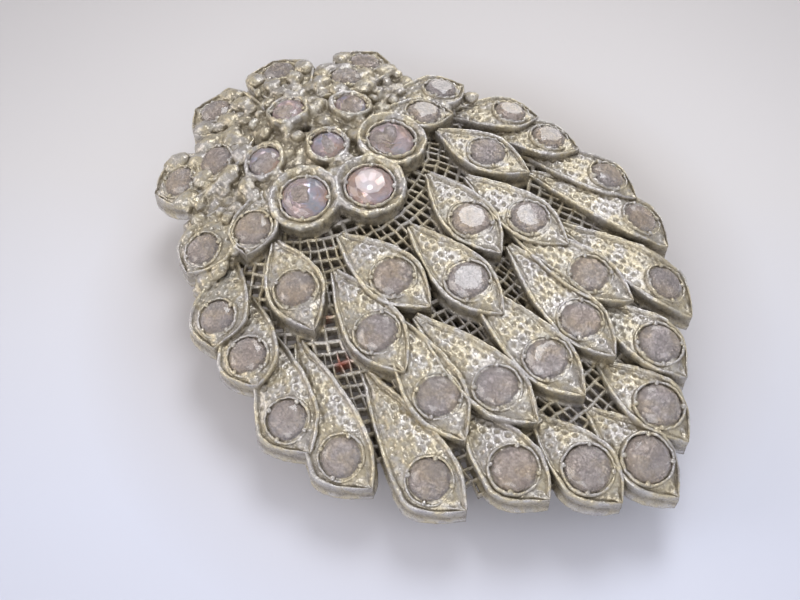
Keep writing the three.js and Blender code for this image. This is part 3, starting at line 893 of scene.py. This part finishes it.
for place in stone_places:
    stone = stone_piece(place)
    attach(stone, "ornament")
    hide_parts(place["node"])

for node, material in (
    ("clip_base_plate", PLATE_STEEL), ("clip_lever", PLATE_STEEL), ("rivet_head_end", SPRING_STEEL),
    ("rivet_tail_end", SPRING_STEEL), ("hinge_pin", SPRING_STEEL), ("torsion_spring", SPRING_STEEL),
):
    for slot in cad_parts[node].material_slots:
        slot.material = material

# ---------- Table, light and camera ----------

floor_mesh = bpy.data.meshes.new("table_surface")
corners = [(x, y, 0) for x, y in ((-2, -2), (2, -2), (2, 2), (-2, 2))]
floor_mesh.from_pydata(corners, [], [(0, 1, 2, 3)])
floor_mesh.materials.append(table_top())
floor = bpy.data.objects.new("table_surface", floor_mesh)
bpy.context.scene.collection.objects.link(floor)


def area_light(name, place, size, watts, colour, aim=(0, 0, 6)):
    """A round soft light; its place, its size and what it aims at are in millimetres."""
    data = bpy.data.lights.new(name, "AREA")
    data.shape = "DISK"
    data.size = size * MM
    data.energy = watts
    data.color = colour
    lamp = bpy.data.objects.new(name, data)
    lamp.location = Vector(place) * MM
    lamp.rotation_euler = (Vector(aim) * MM - lamp.location).to_track_quat("-Z", "Y").to_euler()
    bpy.context.scene.collection.objects.link(lamp)


area_light("window", (-130, 200, 400), 220, 0.75, (0.95, 0.97, 1.0))
area_light("window_foot", (-160, 287, 119), 170, 0.2, (1.0, 0.99, 0.97))
area_light("sky_side", (300, 160, 260), 260, 0.22, (0.86, 0.91, 1.0))
area_light("near_side", (200, -350, 260), 300, 0.75, (0.97, 0.98, 1.0))
area_light("warm_side", (-290, -300, 190), 280, 0.6, (1.0, 0.94, 0.88))


def room_world():
    """A dim room with lighter and darker patches all round, for the metal to mirror."""
    world = bpy.data.worlds.new("room")
    world.use_nodes = True
    nodes, links = world.node_tree.nodes, world.node_tree.links
    background = nodes["Background"]
    patches = add_node(nodes, "ShaderNodeTexNoise", Scale=2.6, Detail=2.0, Roughness=0.5)
    links.new(nodes.new("ShaderNodeTexCoord").outputs["Generated"], patches.inputs["Vector"])
    tint = ramp(nodes, links, patches.outputs["Fac"], [
        (0.38, (0.24, 0.21, 0.19)), (0.47, (0.52, 0.49, 0.47)), (0.54, (0.80, 0.77, 0.77)),
        (0.62, (1.0, 0.98, 0.95)),
    ])
    links.new(tint, background.inputs["Color"])
    background.inputs["Strength"].default_value = 0.72
    return world


bpy.context.scene.world = room_world()
bpy.context.scene.view_settings.view_transform = "Standard"

CAMERA_PLACE = (43.65, -39.02, 89.71)
CAMERA_AZIMUTH = 50.63
CAMERA_ELEVATION = 56.81
CAMERA_ROLL = -2.32
camera_data = bpy.data.cameras.new("camera")
camera_data.sensor_width = 36
camera_data.angle = math.radians(40)
camera_data.clip_start = 0.005
camera = bpy.data.objects.new("camera", camera_data)
camera.location = Vector(CAMERA_PLACE) * MM
view = Matrix.Rotation(math.radians(CAMERA_AZIMUTH), 3, "Z") @ Matrix.Rotation(
    math.radians(90 - CAMERA_ELEVATION), 3, "X") @ Matrix.Rotation(math.radians(CAMERA_ROLL), 3, "Z")
camera.rotation_euler = view.to_euler()
bpy.context.scene.collection.objects.link(camera)
bpy.context.scene.camera = camera
